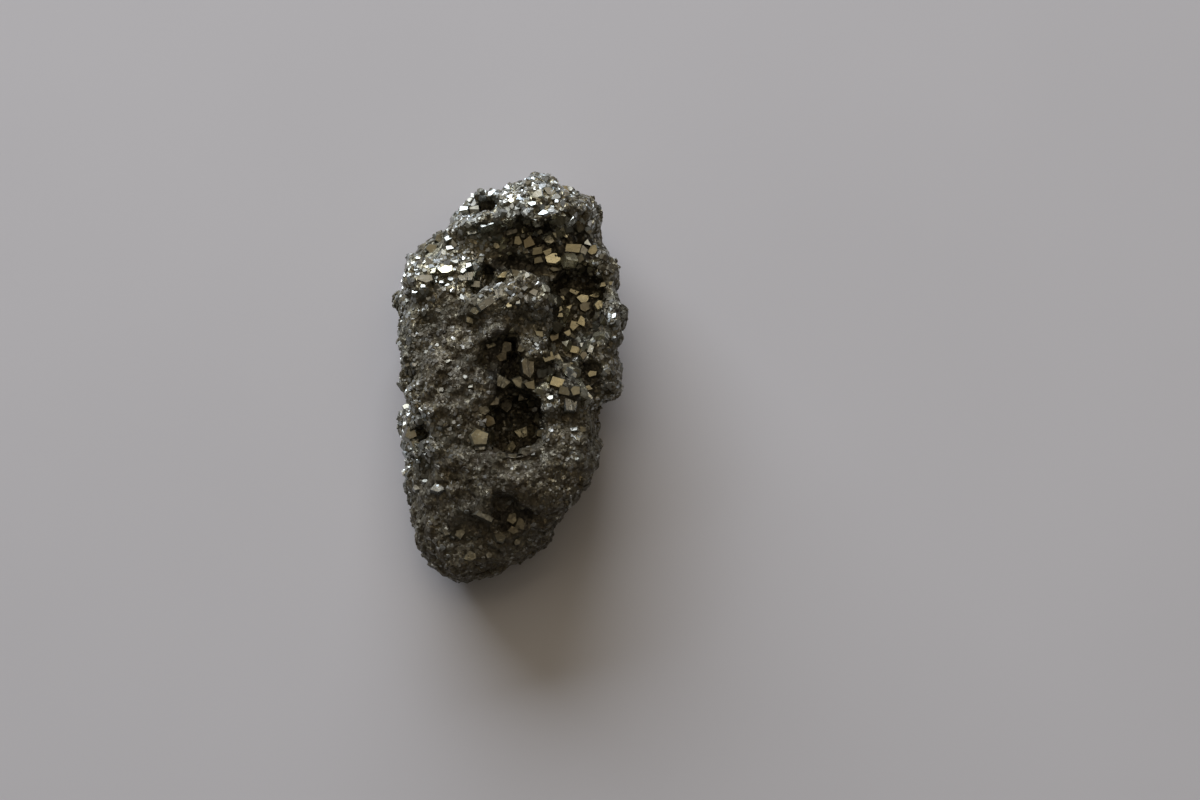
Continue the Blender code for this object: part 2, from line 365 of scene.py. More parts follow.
def crystal_finish(look, sort, roughness_range, lines):
    """Crystal faces: each crystal keeps its own tone and cast, with growth lines that carry painted shade
    in their grooves, and a little dirt.
    """
    dull, clean = getattr(look, sort + "_dull"), getattr(look, sort + "_clean")
    depth, pitch = lines

    def finish(graph):
        place = graph.own_place()
        tone = graph.attribute("tone")
        film = graph.attribute("film")
        colour = graph.mix(tone, opaque(dull), opaque(clean))
        steel = graph.mix(tone, opaque(look.crust_dull), opaque(look.steel_clean))
        colour = graph.mix(graph.attribute("steely"), colour, steel)
        lined = growth_lines(graph, pitch) * graph.attribute("lined")
        # Painted shade: the grooves darken toward the dull colour
        colour = graph.mix(lined * PAINTED_GROOVE_SHADE, colour, opaque(dull))
        colour, metallic = stained(graph, place, look, colour)
        smudges = graph.noise(place, SMUDGE_SIZE, 3.0, 0.6) * SMUDGE_STRENGTH
        roughness = graph.ramp(tone + smudges, *SMUDGE_EDGES, *roughness_range) + film * FILM_ROUGHNESS
        relief = graph.facets(place, FACE_GRAIN) * (film * FILMED_FACE_RELIEF + FACE_RELIEF)
        return colour, metallic, roughness, lined * (-depth * MM) + relief

    return finish


def growth_lines(graph, pitch):
    """Fine uneven grooves along each face of a cube, square to the grooves on the faces beside it."""
    x, y, z = graph.parts(graph.attribute("within", "Vector"))
    far_x, far_y, far_z = (graph.maths("ABSOLUTE", axis) for axis in (x, y, z))
    on_x = (far_x > far_y) * (far_x > far_z)
    on_y = (far_y > far_x) * (far_y > far_z)
    across = z * on_x + x * on_y + y * (1.0 - on_x - on_y)
    fine = graph.maths("SINE", across * pitch)
    coarse = graph.maths("SINE", across * (pitch * COARSE_LINES) + 1.0)
    return graph.ramp(fine + coarse, *LINE_EDGES)


# ----- Crystal forms -----

SIGNS = (1, -1)
CORNERS = [Vector((x, y, z)).normalized() for x in SIGNS for y in SIGNS for z in SIGNS]
SLANTS = [
    Vector(normal).normalized()
    for a in (2, -2)
    for b in SIGNS
    for normal in ((a, b, 0), (0, a, b), (b, 0, a))
]


def slopes(rise, turns):
    """The ways that flat cuts face, each turned its own amount about the crystal's axis."""
    return [Vector((math.cos(turn), math.sin(turn), rise)).normalized() for turn in turns]


RIMS = slopes(0.12, (0.7, 2.2, 3.9, 5.5, 1.2, 2.9, 4.6))
SHOULDERS = slopes(1.3, (0.4, 1.6, 2.7, 3.8, 4.7, 5.6))

# Each form is a block with planes cut off it: the planes' normals, and their distance from its middle
GRAIN_FORMS = {
    "block": ((RIMS[0:2], 0.50),),
    "wedge": ((RIMS[2:4], 0.48), (SHOULDERS[0:1], 0.46)),
    "ledge": ((RIMS[4:5], 0.42), (SHOULDERS[2:4], 0.50)),
    "gable": ((RIMS[5:7], 0.50), (SHOULDERS[4:6], 0.44)),
    "stub": ((RIMS[1:4], 0.52), (SHOULDERS[5:6], 0.50)),
    "facet": ((RIMS[3:6], 0.47),),
}
CRYSTAL_FORMS = {
    "cube_octahedron": ((CORNERS, 0.60),),
    "truncated_octahedron": ((CORNERS, 0.50),),
    "pyritohedron": ((SLANTS, 0.47),),
    "bevelled_cube": ((SLANTS[:7], 0.52), (CORNERS[:5], 0.68)),
    "corner_cube": ((CORNERS[:4], 0.64),),
    "lined_cube": ((CORNERS[2:4], 0.72), (SLANTS[6:8], 0.54)),
}
# How much a crystal's sides, and the reach of its cuts, differ from one form to the next
SIDE_RANGE = (0.8, 1.15)
REACH_RANGE = (0.88, 1.1)
SHORTEST_EDGE = 0.02


def cut_crystal(cuts, chance):
    """A block about one unit across, cut by planes. Their distances vary, as on a real crystal."""
    bm = bmesh.new()
    sides = chance.uniform(*SIDE_RANGE, 3)
    bmesh.ops.create_cube(bm, size=1.0, matrix=Matrix.Diagonal((*sides, 1.0)))
    for normals, distance in cuts:
        for normal in normals:
            place = normal * (distance * chance.uniform(*REACH_RANGE))
            everything = bm.verts[:] + bm.edges[:] + bm.faces[:]
            bmesh.ops.bisect_plane(bm, geom=everything, plane_co=place, plane_no=normal, clear_outer=True)
            rim = [edge for edge in bm.edges if edge.is_boundary]
            bmesh.ops.contextual_create(bm, geom=rim)
    bmesh.ops.remove_doubles(bm, verts=bm.verts, dist=SHORTEST_EDGE)
    bmesh.ops.recalc_face_normals(bm, faces=bm.faces)
    layer = bm.verts.layers.float_vector.new("within")
    for vert in bm.verts:
        vert[layer] = vert.co
    return bm


def new_mesh(name, bm):
    mesh = bpy.data.meshes.new(name)
    bm.to_mesh(mesh)
    bm.free()
    return mesh


def placed(name, data):
    """A new object in the scene."""
    obj = bpy.data.objects.new(name, data)
    bpy.context.scene.collection.objects.link(obj)
    return obj


def crystal_collection(name, forms, seed):
    """The forms as objects of a collection, for Geometry Nodes to pick from."""
    chance = np.random.default_rng(seed)
    collection = bpy.data.collections.new(name)
    for form, cuts in forms.items():
        mesh = new_mesh(form, cut_crystal(cuts, chance))
        collection.objects.link(bpy.data.objects.new(form, mesh))
    return collection


def forget(collection):
    for obj in list(collection.objects):
        mesh = obj.data
        bpy.data.objects.remove(obj)
        bpy.data.meshes.remove(mesh)
    bpy.data.collections.remove(collection)


# ----- Geometry node trees -----

# How far the clumps' outlines wander, as a share of their size
CLUMP_WANDER = 0.6
# Crystals that keep to patches: the patches' width, and where in the noise they start and are whole
PATCH_SIZE, PATCH_EDGES = 7.0 * MM, (0.46, 0.56)
# How many points are tried in a square of the spacing's side
TRIES = 3.0
# Above 1, small crystals outnumber large ones
SMALLNESS = 2.0
STRETCH_RANGE = (0.8, 1.2)
LINED_EDGES = (0.6, 0.9)
# The powers that make clean and steel-blue crystals rare, and rarer still under the film and its painted
# shade
TONE_POWER = 0.7
STEEL_POWER, STEEL_POWER_FILMED = 1.2, 4.0
SEED_SIZE, SEED_LEAN, SEED_FORM, SEED_STRETCH, SEED_TONE, SEED_SPIN, SEED_STEEL, SEED_LINES = range(11, 19)


def skin_tree(material):
    """Roughens a surface into rounded lumps parted by creases, with two sizes of flat facets on them."""
    graph = GeometryGraph("skin_of_facets")
    lump_size, lump_height = graph.inputs("Lump Size", "Lump Height")
    clump_size, crease = graph.inputs("Clump Size", "Crease")
    facet_size, facet_slope = graph.inputs("Facet Size", "Facet Slope")
    grain_size, grain_slope = graph.inputs("Grain Size", "Grain Slope")
    place = graph.add("GeometryNodeInputPosition")
    normal = graph.add("GeometryNodeInputNormal")
    bent = place + (graph.noise(place, clump_size, 1.0) - 0.5) * clump_size * CLUMP_WANDER
    rise = (graph.noise(place, lump_size) - 0.5) * lump_height
    _, off_middle = graph.cells(bent, clump_size)
    rise = rise - graph.dot(off_middle, off_middle) / clump_size * crease
    rise = rise + graph.facets(place, facet_size) * facet_slope
    rise = rise + graph.facets(place, grain_size) * grain_slope
    sockets = {"Geometry": graph.surface, "Offset": normal * (rise * graph.named("free"))}
    return graph.finish(graph.add("GeometryNodeSetPosition", sockets), material)


def scatter_tree(sort, collection, material):
    """Sets crystals on a surface, part sunk in it, as thickly as its attribute named for the sort says."""
    graph = GeometryGraph(sort)
    spacing, smallest, largest, sink, tilt = graph.inputs("Spacing", "Smallest", "Largest", "Sink", "Tilt")
    skew, calmness, patchiness, shrinkage = graph.inputs("Skew", "Calmness", "Patchiness", "Shrinkage")
    south, north = graph.inputs("From Y", "To Y")
    (seed,) = graph.inputs("Seed", kind="Int")
    film = graph.named("film")
    place = graph.add("GeometryNodeInputPosition")
    along = graph.parts(place)[1]
    patch = graph.ramp(graph.noise(place, PATCH_SIZE), *PATCH_EDGES)
    within = (along > south) * (1.0 - (along > north)) * (1.0 - patchiness * (1.0 - patch))
    sockets = {
        "Mesh": graph.surface,
        "Distance Min": spacing,
        "Density Max": TRIES / (spacing * spacing),
        "Density Factor": graph.named(sort) * within,
        "Seed": seed,
    }
    points = graph.add("GeometryNodeDistributePointsOnFaces", sockets, {"distribute_method": "POISSON"})
    normal = points.other("Normal")
    size = smallest + (largest - smallest) * graph.chance(0.0, 1.0, SEED_SIZE) ** SMALLNESS
    size = size * (1.0 - film * shrinkage)
    sunk = {"Geometry": points, "Offset": normal * (size * sink * -1.0)}
    outward = graph.named("calm", "FLOAT_VECTOR") * calmness + normal * (1.0 - calmness)
    forms = {"Collection": collection, "Separate Children": True, "Reset Children": True}
    sockets = {
        "Points": graph.add("GeometryNodeSetPosition", sunk),
        "Instance": graph.add("GeometryNodeCollectionInfo", forms),
        "Pick Instance": True,
        "Instance Index": graph.chance(0, len(collection.objects) - 1, SEED_FORM, "INT"),
        "Rotation": rotation(graph, outward, tilt),
        "Scale": graph.chance(*STRETCH_RANGE, SEED_STRETCH, "FLOAT_VECTOR") * size,
    }
    crystals = graph.add("GeometryNodeInstanceOnPoints", sockets)
    marks = {
        "tone": graph.chance(0.0, 1.0, SEED_TONE) ** (skew * (film + TONE_POWER)),
        "steely": graph.chance(0.0, 1.0, SEED_STEEL) ** (film * STEEL_POWER_FILMED + STEEL_POWER),
        "lined": graph.ramp(graph.chance(0.0, 1.0, SEED_LINES), *LINED_EDGES),
    }
    for mark_name, value in marks.items():
        sockets = {"Geometry": crystals, "Name": mark_name, "Value": value}
        settings = {"data_type": "FLOAT", "domain": "INSTANCE"}
        crystals = graph.add("GeometryNodeStoreNamedAttribute", sockets, settings)
    return graph.finish(crystals, material)


def rotation(graph, outward, tilt):
    """Stands crystals outward, then leans each by up to the tilt and spins it."""
    lean = graph.chance(-1.0, 1.0, SEED_LEAN, "FLOAT_VECTOR") * tilt
    spin = graph.add("ShaderNodeCombineXYZ", {"Z": graph.chance(0.0, 2.0 * math.pi, SEED_SPIN)})
    turned = graph.add("FunctionNodeAlignRotationToVector", {"Vector": outward}, {"axis": "Z"})
    for angles in (lean, spin):
        turn = graph.add("FunctionNodeEulerToRotation", {0: angles})
        sockets = {"Rotation": turned, "Rotate By": turn}
        turned = graph.add("FunctionNodeRotateRotation", sockets, {"rotation_space": "LOCAL"})
    return turned


# ----- Zones of the lump -----

# Where clean crystals grow: the middle of each zone and its radii across and along, in millimetres
VUG_ZONES = {
    "trough": ((8.2, 8.4), (3.5, 6.4)),
    "trough_head": ((5.0, 15.3), (7.2, 3.0)),
    "slit": ((-0.3, 1.0), (2.4, 4.2)),
    "bridge": ((7.0, -0.8), (4.2, 3.0)),
    "main_vug": ((0.9, -5.8), (3.4, 4.2)),
    "south_pocket": ((0.6, -17.2), (2.4, 1.8)),
}
# Hollows that stay bare of crystals, and dark with painted shade
BARE_ZONES = {
    "moat": ((0.2, 12.8), (4.2, 1.1)),
    "deep_trough": ((7.8, 10.8), (2.8, 1.2)),
    "crown_pocket": ((-2.5, 20.3), (1.5, 0.9)),
}
# Where the brown film is lighter or heavier than elsewhere: the zone's middle, radii and film. The zones'
# film was set by how dark each region looks, so it is partly real tarnish and partly painted shade: heavy
# where the stone lies in shade or faces away from the window, as on the south and the vug's rim, and
# none where the window light falls, on the crown, pocket and ridge. At 1 the film hides the stone where
# it is whole, and past 1 it also hides more of it in its thin patches.
FILM = 0.3
FILM_AND_SHADE_ZONES = {
    "crown": ((2.6, 21.8), (5.4, 4.2), 0.0),
    "pocket": ((-3.2, 19.4), (3.8, 2.8), 0.0),
    "ridge": ((-8.4, 12.4), (5.6, 3.2), 0.0),
    "west_edge": ((-12.0, -6.5), (2.0, 8.0), 0.1),
    "plateau": ((-4.6, 0.6), (6.4, 7.4), 0.76),
    "east_shoulder": ((7.2, -9.0), (3.6, 5.0), 0.65),
    "knob": ((2.6, 9.4), (3.4, 3.6), 0.42),
    "upper_band": ((4.4, 16.6), (8.0, 2.4), 0.2),
    "crown_east": ((9.2, 19.6), (2.4, 3.6), 0.25),
    "south_rim": ((1.0, -11.0), (9.0, 3.4), 0.7),
    "east_rim": ((13.0, 6.0), (2.4, 7.0), 0.45),
    "vug_rim": ((0.1, -10.9), (3.8, 1.8), 1.3),
    "south": ((0.0, -18.5), (14.0, 8.0), 0.75),
}
# The film also gathers on the lower flanks, and it fills the relief under it
FLANK_FILM = 0.25
FLANK_LOW, FLANK_HIGH = 3.0 * MM, 10.0 * MM
FILM_SMOOTHING = 0.45
# Where a zone fades out and where it is whole, as shares of its radii
ZONE_EDGES = (1.15, 0.8)
FILM_ZONE_EDGES = (1.3, 0.75)
# The vugs and bare hollows start above the lower height, and are whole above the upper one
TOP_LOW, TOP_HIGH = 6.0 * MM, 10.8 * MM
# The foot is smooth and bare up to its rise, and the skin is as rough as elsewhere above the fade
FOOT_RISE = 0.25 * MM
FOOT_FADE = 1.2 * MM
# How much thinner the crust and the druse are in the vugs, and the crust under the film
VUG_THINNING = 0.85
FILM_THINNING = 0.3
# The scattered crystals' distances from the large ones
CLEARANCES = {"vugs": 0.6 * MM, "crust": 0.3 * MM, "druse": 0.5 * MM}


class LargeCrystal(NamedTuple):
    """A large crystal's flat face.

    Its middle, width and height are in the camera's frame and its turn is in degrees. Its tone is how
    clean it is, from 0 to 1. It returns its light to the camera, and its cast names steel, lined or both.
    """

    x: float
    y: float
    width: float
    height: float
    turn: float
    sides: int
    tone: float
    light: str = "overhead"
    cast: str = ""


# The commonest pairs of light and cast
GLINT, STEEL, SHEEN = ("window", "steel"), ("overhead", "steel"), ("card", "steel")
LARGE_CRYSTALS = (
    # the upper band
    (554, 259, 16, 11, 12, 6, 0.5, "card"),
    (548, 252, 9, 6, 30, 4, 0.25),
    (556, 268, 13, 7, 0, 5, 0.0),
    (573, 248, 15, 10, -10, 4, 0.30),
    (587, 243, 6, 9, 20, 3, 0.9, *SHEEN),
    (583, 250, 8, 9, 60, 4, 0.3, *STEEL),
    (592, 250, 10, 9, 15, 5, 0.32),
    (537, 251, 10, 8, 5, 4, 0.06),
    (538, 260, 9, 6, 12, 4, 0.03),
    (517, 241, 8, 9, 30, 5, 0.10),
    (528, 242, 11, 10, 20, 4, 0.02, *STEEL),
    # around the moat and the trough
    (504, 275, 15, 6, 18, 5, 0.45),
    (516, 273, 9, 7, 0, 4, 0.05),
    (527, 275, 5, 6, 10, 5, 0.9, *SHEEN),
    (606, 284, 14, 4, 12, 4, 0.4),
    (594, 295, 10, 7, 0, 3, 0.5),
    (574, 292, 10, 4, -20, 4, 0.3),
    (583, 299, 14, 8, -8, 5, 0.75),
    (586, 307, 12, 9, 10, 6, 0.08, *STEEL),
    (600, 305, 11, 9, 0, 5, 0.6),
    (562, 298, 5, 4, 0, 4, 0.4),
    (560, 309, 5, 4, 30, 4, 0.4),
    (569, 307, 6, 5, 0, 3, 0.5),
    (560, 315, 6, 4, 0, 4, 0.4),
    (574, 325, 10, 10, 25, 5, 0.31),
    (582, 321, 8, 9, -20, 4, 0.42),
    (614, 316, 4, 6, 0, 4, 0.5, *GLINT),
    (567, 334, 9, 6, 30, 4, 0.3),
    (539, 334, 8, 6, 0, 4, 0.2),
    (554, 337, 9, 9, 0, 5, 0.05, *STEEL),
    (576, 350, 11, 7, -12, 4, 0.42),
    (582, 345, 4, 4, 0, 4, 0.9, *SHEEN),
    (584, 356, 8, 9, 10, 5, 0.12, *STEEL),
    (591, 349, 5, 8, -20, 4, 0.5, *SHEEN),
    (548, 357, 11, 8, 20, 4, 0.2),
    (592, 374, 9, 6, 0, 5, 0.35),
    (588, 388, 8, 5, 20, 4, 0.35),
    # the bridge, and beside the slit
    (559, 383, 17, 9, -16, 4, 0.6),
    (565, 391, 12, 8, -12, 4, 0.0),
    (575, 391, 9, 9, 0, 5, 0.2),
    (572, 404, 13, 13, 8, 4, 0.5, "overhead", "steel lined"),
    (519, 382, 15, 10, -25, 5, 0.2),
    (530, 386, 10, 9, 15, 4, 0.08),
    (505, 347, 13, 12, 10, 6, 0.02, *STEEL),
    (501, 357, 10, 9, 0, 5, 0.0, *STEEL),
    (492, 345, 11, 4, 20, 4, 0.35),
    (502, 382, 15, 11, -22, 4, 0.35, "overhead", "lined"),
    (528, 367, 12, 22, 6, 6, 0.1, "overhead", "steel lined"),
    (475, 311, 9, 7, 25, 5, 0.38),
    (470, 320, 7, 8, 0, 4, 0.3),
    # the knob
    (487, 303, 18, 7, 32, 4, 0.25, *STEEL),
    (499, 294, 8, 10, 8, 4, 0.5, "card", "steel lined"),
    (509, 305, 6, 5, 0, 5, 0.6, "card"),
    (518, 302, 4, 4, 0, 4, 0.8, *SHEEN),
    (534, 292, 8, 6, -30, 4, 0.2, *SHEEN),
    # the vug
    (479, 438, 17, 15, -18, 5, 0.27),
    (480, 448, 10, 4, 4, 4, 0.6, *SHEEN),
    (511, 448, 8, 13, -38, 4, 0.35, "card"),
    (489, 421, 12, 12, 0, 6, 0.0, *STEEL),
    (506, 406, 13, 13, 0, 7, 0.0),
    (522, 433, 13, 10, 25, 4, 0.35, "overhead", "lined"),
    (499.5, 426, 3, 3, 0, 4, 0.5, "window"),
    (533, 454, 4, 3, 0, 4, 0.3, *GLINT),
    (500, 456, 11, 7, 8, 5, 0.2),
    (512, 457, 8, 6, -10, 4, 0.15),
    # the vug's rim
    (537, 420, 9, 13, 12, 5, 0.05, *STEEL),
    (531, 403, 11, 9, -20, 5, 0.08),
    (522, 397, 9, 8, 15, 4, 0.04, *STEEL),
    (541, 434, 9, 9, 30, 5, 0.06),
    (527, 452, 13, 8, 18, 5, 0.12),
    (493, 401, 11, 9, -12, 6, 0.03, *STEEL),
    (484, 411, 10, 8, 25, 5, 0.06),
    (497, 452, 9, 7, -15, 4, 0.03, *STEEL),
    # the east
    (542.6, 430, 4, 4, 0, 4, 0.4, *GLINT),
    (550, 398, 6, 5, 0, 5, 0.2, *GLINT),
    (574, 429.5, 7, 4, 0, 4, 0.3, *GLINT),
    (582, 429.5, 8, 6, 0, 5, 0.2),
    (577, 459, 4, 3, 0, 4, 0.2, *GLINT),
    # the south
    (512, 519, 11, 10, 20, 5, 0.1),
    (521, 524, 9, 12, -20, 4, 0.0),
    (513, 530, 11, 8, 10, 5, 0.05, *STEEL),
    (485, 516, 17, 7, -28, 4, 0.04),
    (499.5, 537, 11, 9, -30, 5, 0.06),
    (470, 556, 12, 10, 0, 6, 0.12),
    (460, 534, 10, 9, 30, 5, 0.12),
    (489, 555, 6, 6, 0, 5, 0.15, *STEEL),
    (517, 542, 6, 6, 0, 5, 0.1, *STEEL),
    (446, 532, 6, 7, 20, 4, 0.05, *STEEL),
    # the crown and its pocket
    (537, 194, 10, 8, 10, 5, 1.0, *SHEEN),
    (549, 191, 12, 7, -20, 5, 0.6, *STEEL),
    (564, 189, 10, 6, 0, 4, 0.5),
    (532, 204, 8, 6, 0, 5, 0.3, *GLINT),
    (543, 213, 10, 6, 15, 5, 0.5, *GLINT),
    (487, 225, 14, 5, 12, 4, 0.4, *GLINT),
    (497, 236, 9, 6, 20, 5, 0.2, *GLINT),
    (472, 232, 9, 6, 20, 4, 0.9, *SHEEN),
    # the west and north-west
    (440, 238, 11, 9, 20, 5, 0.16),
    (449, 238, 8, 5, 30, 4, 0.3, *GLINT),
    (432, 249, 12, 10, 10, 5, 0.22),
    (450, 248, 8, 5, 0, 4, 0.3, *GLINT),
    (466, 277, 18, 8, 5, 4, 0.5, "card", "steel lined"),
    (474, 284, 12, 7, -10, 4, 0.35, *STEEL),
    (437, 487.5, 13, 10, 10, 5, 1.0, *SHEEN),
    (408, 300, 5, 4, 20, 4, 0.2, *GLINT),
    (415, 292, 6, 4, -20, 5, 0.5, *GLINT),
    (423, 286, 5, 5, 10, 4, 0.3, *GLINT),
    (410, 433, 11, 12, 15, 5, 0.08, *STEEL),
    (415, 444, 9, 7, -25, 5, 0.04),
    (409, 415, 5, 4, 30, 5, 0.5, *GLINT),
    (405, 424, 4, 5, 0, 4, 0.2, *GLINT),
    (410, 437, 6, 5, -30, 5, 0.4, *GLINT),
    (412, 448, 4, 4, 0, 4, 0.2, *GLINT),
    (419, 459, 6, 4, 30, 5, 0.4, *GLINT),
    (428, 465, 5, 4, 0, 4, 0.2, *GLINT),
    (425, 481, 6, 4, 10, 5, 0.3, *GLINT),
    (437, 345, 4, 4, 0, 5, 0.2, *GLINT),
    (448, 361, 5, 4, 30, 4, 0.1, *GLINT),
    (426, 352, 4, 4, 0, 4, 0.2, *GLINT),
    (417, 487.5, 8, 6, 0, 5, 0.4, *SHEEN),
    (406, 407, 7, 6, 0, 5, 0.1, *GLINT),
    (465, 377, 5, 5, 0, 5, 0.2, *GLINT),
    (441, 390, 5, 5, 0, 4, 0.1, *GLINT),
    (471, 386, 5, 5, 0, 4, 0.1, *GLINT),
    (446, 270, 14, 10, 20, 6, 0.6, "window"),
    (425, 279, 15, 9, 10, 5, 0.3, *SHEEN),
    (433, 271, 6, 6, 0, 4, 0.2, "window"),
    (467, 266, 9, 6, 20, 5, 0.3, *GLINT),
    (463, 271, 6, 5, 40, 5, 0.2, *GLINT),
    (441, 282, 5, 3, 0, 4, 0.3, *GLINT),
    (447, 285, 5, 3, 15, 5, 0.25, *GLINT),
    (435, 282, 4, 3, 45, 4, 0.25, *GLINT),
    (413, 263, 4, 3, 20, 4, 0.25, *GLINT),
    (418, 258, 5, 3, -15, 5, 0.3, *GLINT),
    (424, 262, 4, 3, 35, 4, 0.2, *GLINT),
    (416, 269, 4, 4, 5, 5, 0.3, *GLINT),
    (427, 267, 3, 3, 30, 4, 0.2, *GLINT),
    (410, 270, 3, 4, 15, 4, 0.25, *GLINT),
    (511, 201, 6, 5, 0, 5, 0.7, "window"),
)
LARGE_SEED = 21
# A large crystal's depth, and how far its face stands out, as shares of its mean width
FACET_DEPTH = 0.9
FACET_RISE = 0.16
# Where the surface is felt for under a large crystal, as shares of its width and height
FEELERS = ((0, 0), (0.35, 0), (-0.35, 0), (0, 0.35), (0, -0.35))
# How uneven a large crystal's corners are in their turn and reach, and how far it leans
CORNER_TURN = 0.2
CORNER_RANGE = (0.72, 1.2)
FACET_LEAN = 0.1
# Its shoulder's depth and spread, and the spread of its foot
SHOULDER_DEPTHS = (0.1, 0.25)
SHOULDER_SPREADS = (1.1, 1.25)
FOOT_SPREAD = 1.35
# The crust is cut into bands so that no mesh is too large. The outer ones reach past the lump's ends.
CRUST_BANDS = 4
BAND_MARGIN = 1 * MM
# The share of a bake map's cell that is left empty around its face
BAKE_MARGIN = 0.08


def smooth_step(value, start, end):
    share = np.clip((value - start) / (end - start), 0.0, 1.0)
    return share * share * (3.0 - 2.0 * share)


def within_zone(points, middle, radii, outer, inner):
    """1 for the points inside the zone, fading to 0 between its inner and outer limits."""
    off = (points[:, :2] / MM - np.array(middle)) / np.array(radii)
    return smooth_step(np.hypot(off[:, 0], off[:, 1]), outer, inner)


def share_of(zones, points):
    """How far each point lies in one of the zones on the lump's upper side, from 0 to 1."""
    shares = [within_zone(points, *zone, *ZONE_EDGES) for zone in zones.values()]
    return np.max(shares, 0) * smooth_step(points[:, 2], TOP_LOW, TOP_HIGH)


def film_and_shade_share(points):
    """How heavy the brown film is at each point, with the painted shade that its heavy zones add."""
    film = FILM + FLANK_FILM * smooth_step(points[:, 2], FLANK_HIGH, FLANK_LOW)
    for middle, radii, heavy in FILM_AND_SHADE_ZONES.values():
        film += (heavy - film) * within_zone(points, middle, radii, *FILM_ZONE_EDGES)
    return film


def read(items, name, width=1, kind=np.float32):
    """One property of every item, in a row for each where it is wider than one number."""
    found = np.empty(len(items) * width, kind)
    items.foreach_get(name, found)
    return found.reshape(-1, width) if width > 1 else found


def points_of(mesh):
    return read(mesh.vertices, "co", 3)


def flat(values):
    return np.ascontiguousarray(values, np.float32).ravel()


def mark(mesh, name, values):
    mesh.attributes.new(name, "FLOAT", "POINT").data.foreach_set("value", flat(values))


def kept_in_box(mesh):
    """Keeps crystals on or over the ground, and no further out of the solid's box than is allowed."""
    margin = (HIGH - LOW) * PROUD
    lowest = np.array((LOW.x - margin.x, LOW.y - margin.y, 0.0))
    highest = np.array(HIGH + margin)
    mesh.vertices.foreach_set("co", flat(np.clip(points_of(mesh), lowest, highest)))
    mesh.update()
    return mesh


def lay_bake_map(mesh):
    """A map for baking that gives each face a cell of its own, in rows."""
    corners = read(mesh.polygons, "loop_total", kind=np.int32)
    faces = len(corners)
    row = math.ceil(math.sqrt(faces))
    face = np.repeat(np.arange(faces), corners)
    first = np.repeat(np.cumsum(corners) - corners, corners)
    turn = 2.0 * math.pi * (np.arange(len(face)) - first) / corners[face] + math.pi / 4
    reach = 0.5 - BAKE_MARGIN
    across = (face % row + 0.5 + reach * np.cos(turn)) / row
    up = (face // row + 0.5 + reach * np.sin(turn)) / row
    layer = mesh.uv_layers.new(name="OFBake")
    layer.uv.foreach_set("vector", flat(np.stack((across, up), 1)))


def add_piece(name, mesh, stands_for=False):
    """Makes a mesh into a finished piece of the object."""
    lay_bake_map(mesh)
    mesh.name = name
    piece = placed(name, mesh)
    if stands_for:
        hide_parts(NODE)
    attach(piece, BODY)
    return piece


# ----- Sizes and colours -----


def length(name, description, default):
    return FloatProperty(name=name, description=description, default=default * MM, unit="LENGTH")


def number(name, description, default, subtype="NONE"):
    return FloatProperty(name=name, description=description, default=default, subtype=subtype)


def factor(name, description, default):
    return number(name, description, default, "FACTOR")


def tint(name, description, default):
    return FloatVectorProperty(
        name=name, description=description, default=default, subtype="COLOR", min=0.0, max=1.0
    )


class PyriteLook(bpy.types.PropertyGroup):
    """Colours and the sizes of surface detail."""

    grain_size: length("Grain size", "Width of the facets in the fine-grained mass", 0.42)
    blotch_size: length("Blotch size", "Width of the olive and steel-blue blotches", 4.0)
    grey_brass: tint("Grey brass", "Brighter grains of the mass", (0.49, 0.44, 0.295))
    steel: tint("Steel", "Steel-blue cast", (0.22, 0.225, 0.19))
    steel_clean: tint("Clean steel", "Steel-blue crystals", (0.60, 0.67, 0.70))
    # The dirt's colour is also the painted shade in the mass's hollows
    dirt: tint("Dirt", "Dark dirt between the grains", (0.04, 0.036, 0.03))
    dirtiness: factor("Dirtiness", "How much the dirt hides", 0.45)
    # The film's colour, which is also the painted shade of the shaded zones
    film: tint("Film", "Brown film over the filmed zones", (0.06, 0.047, 0.028))
    film_dullness: factor("Film dullness", "How much of the metal's shine the film hides", 0.8)
    crust_dull: tint("Dull crust", "Dullest crystals of the crust", (0.155, 0.132, 0.08))
    crust_clean: tint("Clean crust", "Cleanest crystals of the crust", (0.87, 0.885, 0.83))
    vug_dull: tint("Dull gold", "Dullest crystals of the vugs", (0.125, 0.115, 0.08))
    vug_clean: tint("Clean gold", "Cleanest crystals of the vugs", (0.80, 0.75, 0.50))


class PyriteMass(bpy.types.PropertyGroup):
    """The knobby mass that carries the crystals."""

    voxel: length("Voxel", "Size of the mesh's faces", 0.25)
    lump_size: length("Lump size", "Width of the rounded lumps", 3.0)
    lump_height: length("Lump height", "Height of the rounded lumps", 1.0)
    clump_size: length("Clump size", "Width of the clumps between creases", 3.4)
    crease: factor("Crease", "Steepness of the clumps where they meet", 0.5)
    facet_size: length("Facet size", "Width of the large facets", 1.6)
    facet_slope: factor("Facet slope", "Steepness of the large facets", 0.32)
    grain_size: length("Grain size", "Width of the small facets", 0.7)
    grain_slope: factor("Grain slope", "Steepness of the small facets", 0.2)


class PyriteCrystals(bpy.types.PropertyGroup):
    """Spacing and size of one sort of crystal. The defaults are the crust's."""

    spacing: length("Spacing", "Least distance between crystals", 0.36)
    smallest: length("Smallest", "Size of the smallest crystals", 0.42)
    largest: length("Largest", "Size of the largest crystals", 0.95)
    sink: factor("Sink", "Share of a crystal's size that it is sunk by", 0.4)
    tilt: number("Tilt", "Most that a crystal leans", math.radians(16), "ANGLE")
    skew: number("Skew", "Above 1, dull crystals outnumber clean ones", 1.6)
    calmness: factor("Calmness", "How far crystals follow the broad shape and not the small lumps", 0.35)
    patchiness: factor("Patchiness", "How far crystals keep to patches", 0.0)
    shrinkage: factor("Shrinkage", "How much smaller crystals are under the film", 0.45)
    seed: IntProperty(name="Seed", description="Chooses where the crystals lie", default=3)


